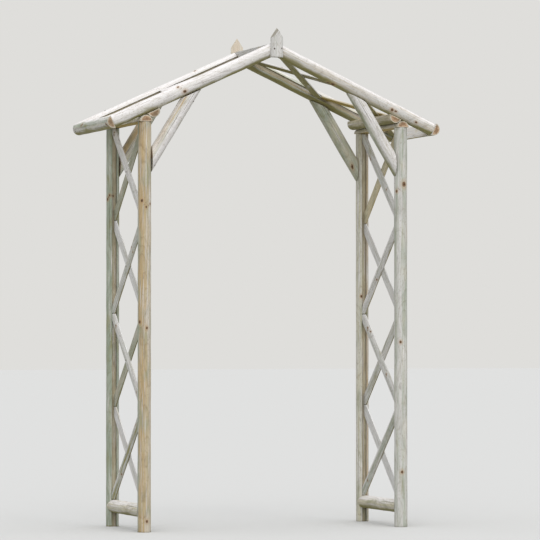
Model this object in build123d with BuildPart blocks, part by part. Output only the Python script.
import os
from math import acos, atan2, cos, hypot, radians, sin, sqrt, tan

from build123d import *

# A rustic garden arch of machine-rounded softwood.
# Four posts carry a pitched open roof, each side is closed by crossed slats between two rails,
# and four braces stiffen the corners over the path.
# The slats sit in grooves that run along the posts and the rafters.
# X runs across the path, Y along it with the front at -Y, and Z up from the ground.
# The origin is on the ground, midway between the four posts.

# Timber
log_diameter = 70.0  # posts, rails, rafters, purlins, braces and finials
saw_kerf = 4.0  # lost where a round is sawn down the middle into two halves
fit_gap = 0.3  # left where a cut or scribed end meets a round log
slat_width = 60.0
slat_thickness = 13.0  # in the middle of a slat, from its flat side to its crown
slat_edge = 5.0  # thickness at the edges of a slat
joint_gap = 3.0  # left between the tips of two slats that meet at a post
tip_cut = 31.0  # height that the level cut takes off the tip of a slat
groove_depth = 12.0  # of the grooves for the slats, from the crown of the log

# Posts
post_spacing = 1420.0  # across the path, centre to centre
post_depth = 560.0  # along the path, centre to centre
post_height = 2110.0

# Sides
bottom_rail_height = 108.0  # axis of the bottom rails above the ground
side_crosses = 4  # crossed pairs of slats, one over the other

# Roof
roof_pitch = 24.4  # degrees from level
rafter_reach = 888.0  # level distance from the ridge to the end of a rafter's axis
roof_crosses = 2  # crossed pairs of slats on each slope
ridge_gap = 6.0  # left between the flat side of the ridge purlin and the lattice of the roof

# Corner braces
brace_drop = 195.0  # from the top of a post down to the axis of the brace
brace_lean = 32.0  # degrees from upright
brace_spare = 140.0  # extra length at the foot of a brace, before its upright cut

# Finials
finial_length = 155.0
finial_point = 52.0  # height of the sloping cuts
finial_rise = 106.0  # from the crossing of the rafters' axes up to the tip
finial_bevel = 0.45  # how fast the sloping cuts fall towards the round face

# Sizes that follow from these
log_radius = log_diameter / 2
cope_radius = log_radius + fit_gap
half_log = log_radius - saw_kerf / 2
slat_crown = slat_thickness - slat_edge
slat_round = (slat_width**2 / 4 + slat_crown**2) / (2 * slat_crown)  # radius of a slat's crown
groove_width = 2 * (slat_thickness + fit_gap)  # for two layers of slats
seat_radius = log_radius - groove_depth + fit_gap  # from the axis of a log to the tips of its slats
frame_length = post_depth + log_diameter  # rails and purlins end flush with the posts
pitch = radians(roof_pitch)
lean = radians(brace_lean)

# The top rail is the upper half of a round whose centre lies just under the post's top,
# and the rafter rests on its crown
rail_centre_height = post_height - saw_kerf / 2
rafter_lift = log_diameter + fit_gap
apex_height = rail_centre_height + rafter_lift / cos(pitch) + post_spacing / 2 * tan(pitch)
rafter_tail = rafter_reach / cos(pitch)
ridge_seat = half_log / 2  # the ridge purlin is centred on the crossing of the rafters' axes

sides = {"left": -1, "right": 1}
ends = {"front": -1, "rear": 1}


def slope_plane(side):
    """Plane of the rafters' axes: X down the slope from the ridge, Z out of the roof."""
    return Plane(
        origin=(0, 0, apex_height),
        x_dir=(side * cos(pitch), 0, -sin(pitch)),
        z_dir=(side * sin(pitch), 0, cos(pitch)),
    )


def side_plane(side):
    """Middle plane of a side: X up the posts, Y to the rear, Z to the left."""
    return Plane(origin=(side * post_spacing / 2, 0, 0), x_dir=(0, 0, 1), z_dir=(-1, 0, 0))


def bar_plane(start, end, crown):
    """Plane across a bar at its start, with local Y towards the bar's crown."""
    along = (end - start).normalized()
    return Plane(origin=start, x_dir=Vector(crown).cross(along), z_dir=along)


def grooved_log_bar(start, end, groove_side):
    """A full round from start to end, with a groove for the slats along one side."""
    start = Vector(start)
    end = Vector(end)
    with BuildSketch(bar_plane(start, end, groove_side)) as section:
        Circle(log_radius)
        with Locations((0, log_radius)):
            Rectangle(groove_width, 2 * groove_depth, mode=Mode.SUBTRACT)
    extrude(section.sketch, amount=(end - start).length)


def half_log_bar(start, end, crown):
    """A half log from start to end: both points lie on the middle of its flat side."""
    start = Vector(start)
    end = Vector(end)
    with BuildSketch(bar_plane(start, end, crown)) as section:
        with Locations((0, -saw_kerf / 2)):
            Circle(log_radius)
        with Locations((0, log_radius / 2)):
            Rectangle(log_diameter, log_radius, mode=Mode.INTERSECT)
    extrude(section.sketch, amount=(end - start).length)


def slat_bar(start, end, crown):
    """A slat from start to end: both points lie on the middle of its flat side."""
    with BuildSketch(bar_plane(start, end, crown)) as section:
        with Locations((0, slat_thickness - slat_round)):
            Circle(slat_round)
        with Locations((0, slat_thickness / 2)):
            Rectangle(slat_width, slat_thickness, mode=Mode.INTERSECT)
    extrude(section.sketch, amount=(end - start).length)


def finish(part, label):
    part.label = label
    export_step(part, f"parts/{label}.step")


os.makedirs("parts", exist_ok=True)

# Posts: full rounds, sawn square at the ground and under the top rails, grooved towards each other
for end_name, end in ends.items():
    for side_name, side in sides.items():
        foot = Vector(side * post_spacing / 2, end * post_depth / 2, 0)
        with BuildPart() as post:
            grooved_log_bar(foot, foot + Vector(0, 0, post_height), groove_side=(0, -end, 0))
        finish(post.part, f"post_{end_name}_{side_name}")

# Bottom rails: full rounds, each end scribed to the post that it meets
for side_name, side in sides.items():
    with BuildPart() as bottom_rail:
        with BuildSketch(Plane.XZ.offset(-post_depth / 2)):
            with Locations((side * post_spacing / 2, bottom_rail_height)):
                Circle(log_radius)
        extrude(amount=post_depth)
        with Locations(*((side * post_spacing / 2, end * post_depth / 2) for end in ends.values())):
            Cylinder(
                cope_radius,
                post_height,
                align=(Align.CENTER, Align.CENTER, Align.MIN),
                mode=Mode.SUBTRACT,
            )
    finish(bottom_rail.part, f"bottom_rail_{side_name}")

# Top rails: half logs, flat side down on the posts
for side_name, side in sides.items():
    with BuildPart() as top_rail:
        half_log_bar(
            (side * post_spacing / 2, -frame_length / 2, post_height),
            (side * post_spacing / 2, frame_length / 2, post_height),
            crown=(0, 0, 1),
        )
    finish(top_rail.part, f"top_rail_{side_name}")


# Lattice: a slat fills its bay from corner to corner.
# Its tips are cut upright at the bottoms of the two grooves, and level where the next bay begins
def lattice_slat(frame, bay_start, bay_length, slat_lean, layer):
    """One slat, with its flat side on the frame's plane."""
    rise = bay_length - joint_gap + 2 * tip_cut
    run = post_depth - 2 * seat_radius
    angle = acos(slat_width / hypot(rise, run)) - atan2(run, rise)
    inset = joint_gap / 2 - tip_cut + slat_width / 2 / cos(angle) - seat_radius * tan(angle)
    bay_end = bay_start + bay_length
    start = frame.from_local_coords((bay_start + inset, -slat_lean * post_depth / 2, 0))
    end = frame.from_local_coords((bay_end - inset, slat_lean * post_depth / 2, 0))
    with BuildPart() as slat:
        slat_bar(start, end, crown=frame.z_dir * layer)
        for level, outward in ((bay_start + joint_gap / 2, -1), (bay_end - joint_gap / 2, 1)):
            place = frame.from_local_coords((level, 0, 0))
            split(bisect_by=Plane(origin=place, z_dir=frame.x_dir * outward), keep=Keep.BOTTOM)
        for outward in (-1, 1):
            place = frame.from_local_coords((0, outward * run / 2, 0))
            split(bisect_by=Plane(origin=place, z_dir=frame.y_dir * outward), keep=Keep.BOTTOM)
    return slat.part


def slat_layer(frame, bay_starts, bay_length, leans, layer):
    """All slats of one layer."""
    return Compound(
        children=[
            lattice_slat(frame, bay_start, bay_length, slat_lean, layer)
            for bay_start, slat_lean in zip(bay_starts, leans)
        ]
    )


side_start = bottom_rail_height + log_radius
side_bay = (post_height - side_start) / side_crosses
side_bays = [side_start + side_bay * index for index in range(side_crosses)]
for side_name, side in sides.items():
    for layer in (1, -1):
        zigzag = [-layer if index % 2 == 0 else layer for index in range(side_crosses)]
        side_slats = slat_layer(side_plane(side), side_bays, side_bay, zigzag, layer)
        face_name = "outer" if layer == -side else "inner"
        finish(side_slats, f"side_slats_{side_name}_{face_name}")

# Ridge purlin: a half log, flat side against the left rafters and crown to the right
left_slope = slope_plane(sides["left"])
ridge_flat = [
    left_slope.from_local_coords((ridge_seat, across, 0))
    for across in (frame_length / 2, -frame_length / 2)
]
with BuildPart() as ridge_purlin:
    half_log_bar(*ridge_flat, crown=-left_slope.x_dir)
finish(ridge_purlin.part, "ridge_purlin")

# Rafters: grooved full rounds with square tails, the right ones scribed over the ridge purlin
ridge_centre = left_slope.from_local_coords((ridge_seat + saw_kerf / 2, 0, 0))
for end_name, end in ends.items():
    for side_name, side in sides.items():
        slope = slope_plane(side)
        top = ridge_seat if side == sides["left"] else -ridge_seat
        start = slope.from_local_coords((top, side * end * post_depth / 2, 0))
        with BuildPart() as rafter:
            tail = start + slope.x_dir * (rafter_tail - top)
            grooved_log_bar(start, tail, groove_side=(0, -end, 0))
            if side == sides["right"]:
                with Locations(Plane(origin=ridge_centre, z_dir=(0, 1, 0))):
                    Cylinder(cope_radius, frame_length, mode=Mode.SUBTRACT)
        finish(rafter.part, f"rafter_{end_name}_{side_name}")

# Eave purlins: half logs, flat side against the rafters' tails
for side_name, side in sides.items():
    slope = slope_plane(side)
    with BuildPart() as eave_purlin:
        half_log_bar(
            slope.from_local_coords((rafter_tail, -frame_length / 2, 0)),
            slope.from_local_coords((rafter_tail, frame_length / 2, 0)),
            crown=slope.x_dir,
        )
    finish(eave_purlin.part, f"eave_purlin_{side_name}")

# Stop purlins: half logs, flat side under the rafters, hooked behind the top rails
# The stop purlin's round touches the top rail's round: the gap is square to the slope, the run along it
stop_centre_gap = rafter_lift - cope_radius + saw_kerf / 2
stop_run = sqrt((log_diameter + fit_gap) ** 2 - stop_centre_gap**2)
for side_name, side in sides.items():
    slope = slope_plane(side)
    rail_centre = slope.to_local_coords(Vector(side * post_spacing / 2, 0, rail_centre_height))
    stop_place = rail_centre.X - stop_run
    with BuildPart() as stop_purlin:
        half_log_bar(
            slope.from_local_coords((stop_place, -frame_length / 2, -cope_radius)),
            slope.from_local_coords((stop_place, frame_length / 2, -cope_radius)),
            crown=-slope.z_dir,
        )
    finish(stop_purlin.part, f"stop_purlin_{side_name}")

# Roof slats: between the rafters, from the ridge purlin to the eave purlin
roof_start = ridge_seat + ridge_gap
roof_bay = (rafter_tail - roof_start) / roof_crosses
roof_bays = [roof_start + roof_bay * index for index in range(roof_crosses)]
for side_name, side in sides.items():
    for face_name, layer in (("upper", 1), ("lower", -1)):
        leans = [-layer] * roof_crosses
        roof_slats = slat_layer(slope_plane(side), roof_bays, roof_bay, leans, layer)
        finish(roof_slats, f"roof_slats_{side_name}_{face_name}")

# Braces: full rounds, cut upright against the post and along the rafter's underside
brace_foot_x = post_spacing / 2 - cope_radius
brace_foot_z = post_height - brace_drop
for end_name, end in ends.items():
    for side_name, side in sides.items():
        along = Vector(-side * sin(lean), 0, cos(lean))
        foot = Vector(side * brace_foot_x, end * post_depth / 2, brace_foot_z)
        soffit = slope_plane(side).offset(-cope_radius)
        with BuildPart() as brace:
            with BuildSketch(Plane(origin=foot - along * brace_spare, z_dir=along)):
                Circle(log_radius)
            extrude(amount=post_height)
            split(bisect_by=Plane(origin=foot, z_dir=(side, 0, 0)), keep=Keep.BOTTOM)
            split(bisect_by=soffit, keep=Keep.BOTTOM)
        finish(brace.part, f"brace_{end_name}_{side_name}")

# Finials: short half logs nailed over the rafters' joint, pointed by two sloping cuts
finial_top = apex_height + finial_rise
for end_name, end in ends.items():
    back = end * (frame_length / 2 + fit_gap)
    tip = Vector(0, back, finial_top)
    with BuildPart() as finial:
        half_log_bar((0, back, finial_top - finial_length), tip, crown=(0, end, 0))
        for hand in (-1, 1):
            down_edge = Vector(hand * log_radius, 0, -finial_point)
            down_face = Vector(0, end, -finial_bevel)
            outward = down_edge.cross(down_face)
            outward = outward if outward.X * hand > 0 else -outward
            split(bisect_by=Plane(origin=tip, z_dir=outward), keep=Keep.BOTTOM)
    finish(finial.part, f"finial_{end_name}")
